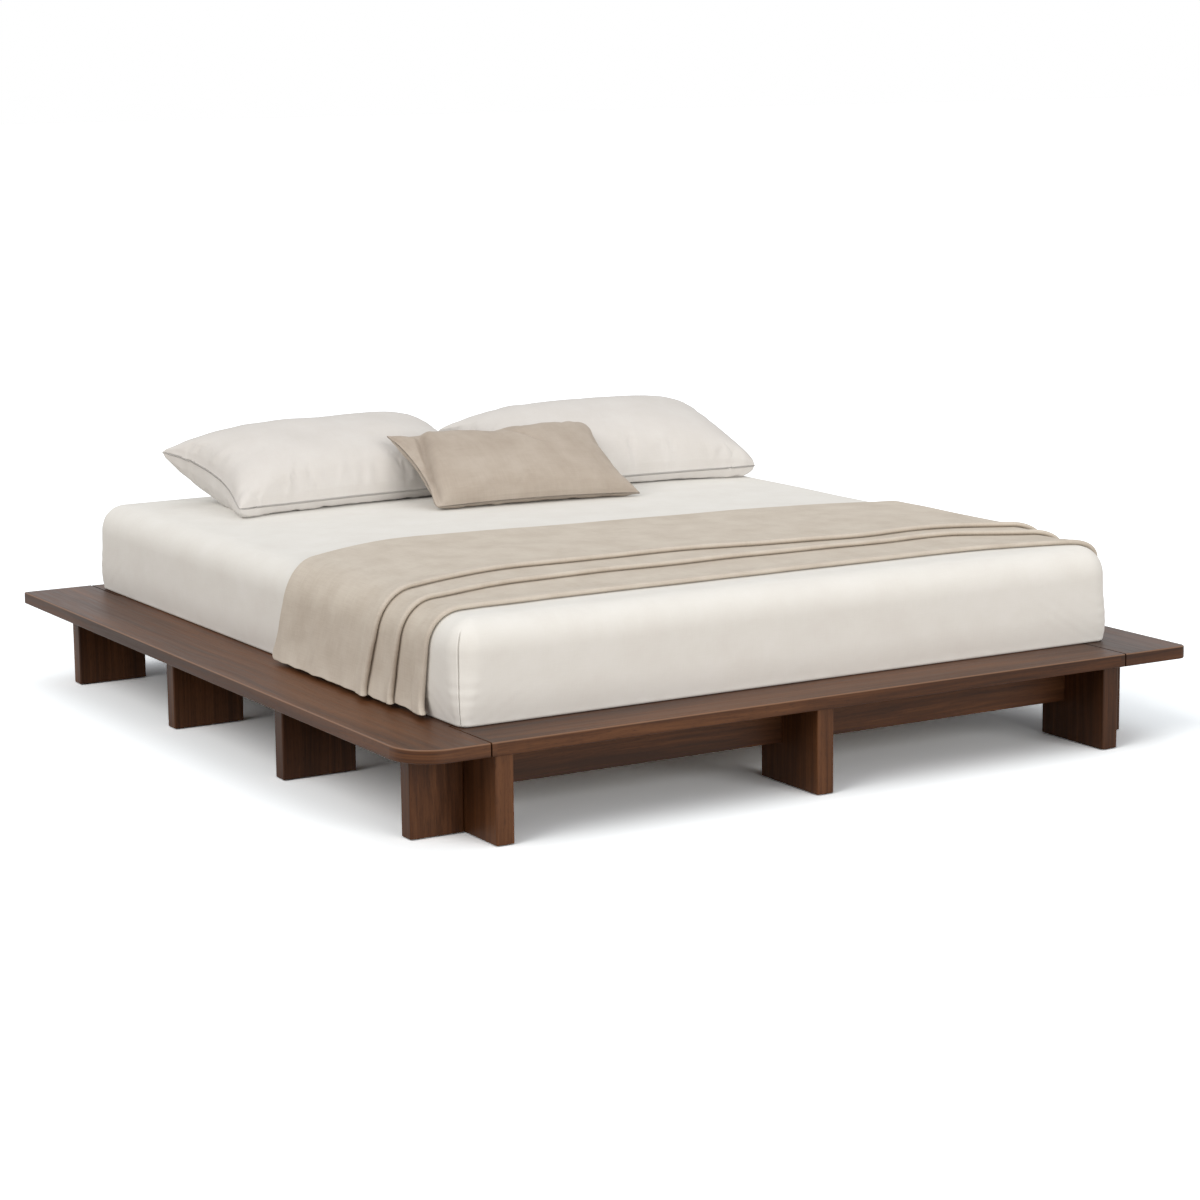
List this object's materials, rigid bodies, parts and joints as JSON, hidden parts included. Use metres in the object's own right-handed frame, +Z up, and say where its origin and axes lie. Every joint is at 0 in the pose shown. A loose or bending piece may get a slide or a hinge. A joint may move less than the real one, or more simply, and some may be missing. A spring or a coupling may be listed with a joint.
{
  "type": "low-profile platform bed",
  "caption": "Low platform bed: a wide walnut plank deck on notched upright planks, with slats, rails and a centre beam, dressed with a mattress, pillows, a lumbar cushion and a folded throw.",
  "frame": {"origin": "on the floor under the middle of the deck", "axes": "+X to the right as seen from the foot, +Y from the foot to the head, +Z up"},
  "size_m": [2.14, 2.33, 0.6923],
  "materials": {
    "walnut": "satin",
    "beech": "satin",
    "bracket_steel": "satin",
    "zinc_steel": "satin",
    "nylon": "matte",
    "mattress_cotton": "matte",
    "pillow_cotton": "matte",
    "cushion_linen": "matte",
    "throw_linen": "matte"
  },
  "bodies": {
    "frame": {"side_board_left": "walnut", "side_board_right": "walnut", "foot_board": "walnut", "head_board": "walnut", "foot_lipping_left": "walnut", "foot_lipping_right": "walnut", "head_lipping_left": "walnut", "head_lipping_right": "walnut", "side_leg_left_1": "walnut", "side_leg_left_2": "walnut", "side_leg_left_3": "walnut", "side_leg_left_4": "walnut", "side_leg_right_1": "walnut", "side_leg_right_2": "walnut", "side_leg_right_3": "walnut", "side_leg_right_4": "walnut", "foot_leg_left": "walnut", "foot_leg_middle": "walnut", "foot_leg_right": "walnut", "head_leg_left": "walnut", "head_leg_middle": "walnut", "head_leg_right": "walnut", "foot_rail": "walnut", "head_rail": "walnut", "side_rail_left": "walnut", "side_rail_right": "walnut", "centre_beam": "beech", "centre_leg_1": "beech", "centre_leg_2": "beech", "centre_leg_3": "beech", "slat_01": "beech", "slat_02": "beech", "slat_03": "beech", "slat_04": "beech", "slat_05": "beech", "slat_06": "beech", "slat_07": "beech", "slat_08": "beech", "slat_09": "beech", "slat_10": "beech", "slat_11": "beech", "slat_12": "beech", "slat_13": "beech", "slat_14": "beech", "joint_dowels": "beech", "corner_bolts": "zinc_steel", "barrel_nuts": "zinc_steel", "bolt_plugs": "walnut", "rail_brackets": "bracket_steel", "beam_bolts": "zinc_steel", "floor_glides": "nylon"},
    "mattress": {"mattress": "mattress_cotton"},
    "throw": {"throw": "throw_linen"},
    "pillow_left": {"pillow_left": "pillow_cotton"},
    "pillow_right": {"pillow_right": "pillow_cotton"},
    "cushion": {"cushion": "cushion_linen"}
  },
  "joints": [
    {"name": "mattress_lift", "type": "slide", "parent": "frame", "child": "mattress", "axis": [0, 0, 1], "range_m": [0, 0.3]},
    {"name": "throw_lift", "type": "slide", "parent": "mattress", "child": "throw", "axis": [0, 0, 1], "range_m": [0, 0.35]},
    {"name": "pillow_left_lift", "type": "slide", "parent": "mattress", "child": "pillow_left", "axis": [0, 0.5, 0.866], "range_m": [0, 0.35]},
    {"name": "pillow_right_lift", "type": "slide", "parent": "mattress", "child": "pillow_right", "axis": [0, 0, 1], "range_m": [0, 0.3]},
    {"name": "cushion_lift", "type": "slide", "parent": "pillow_right", "child": "cushion", "axis": [0, 0, 1], "range_m": [0, 0.3]}
  ]
}
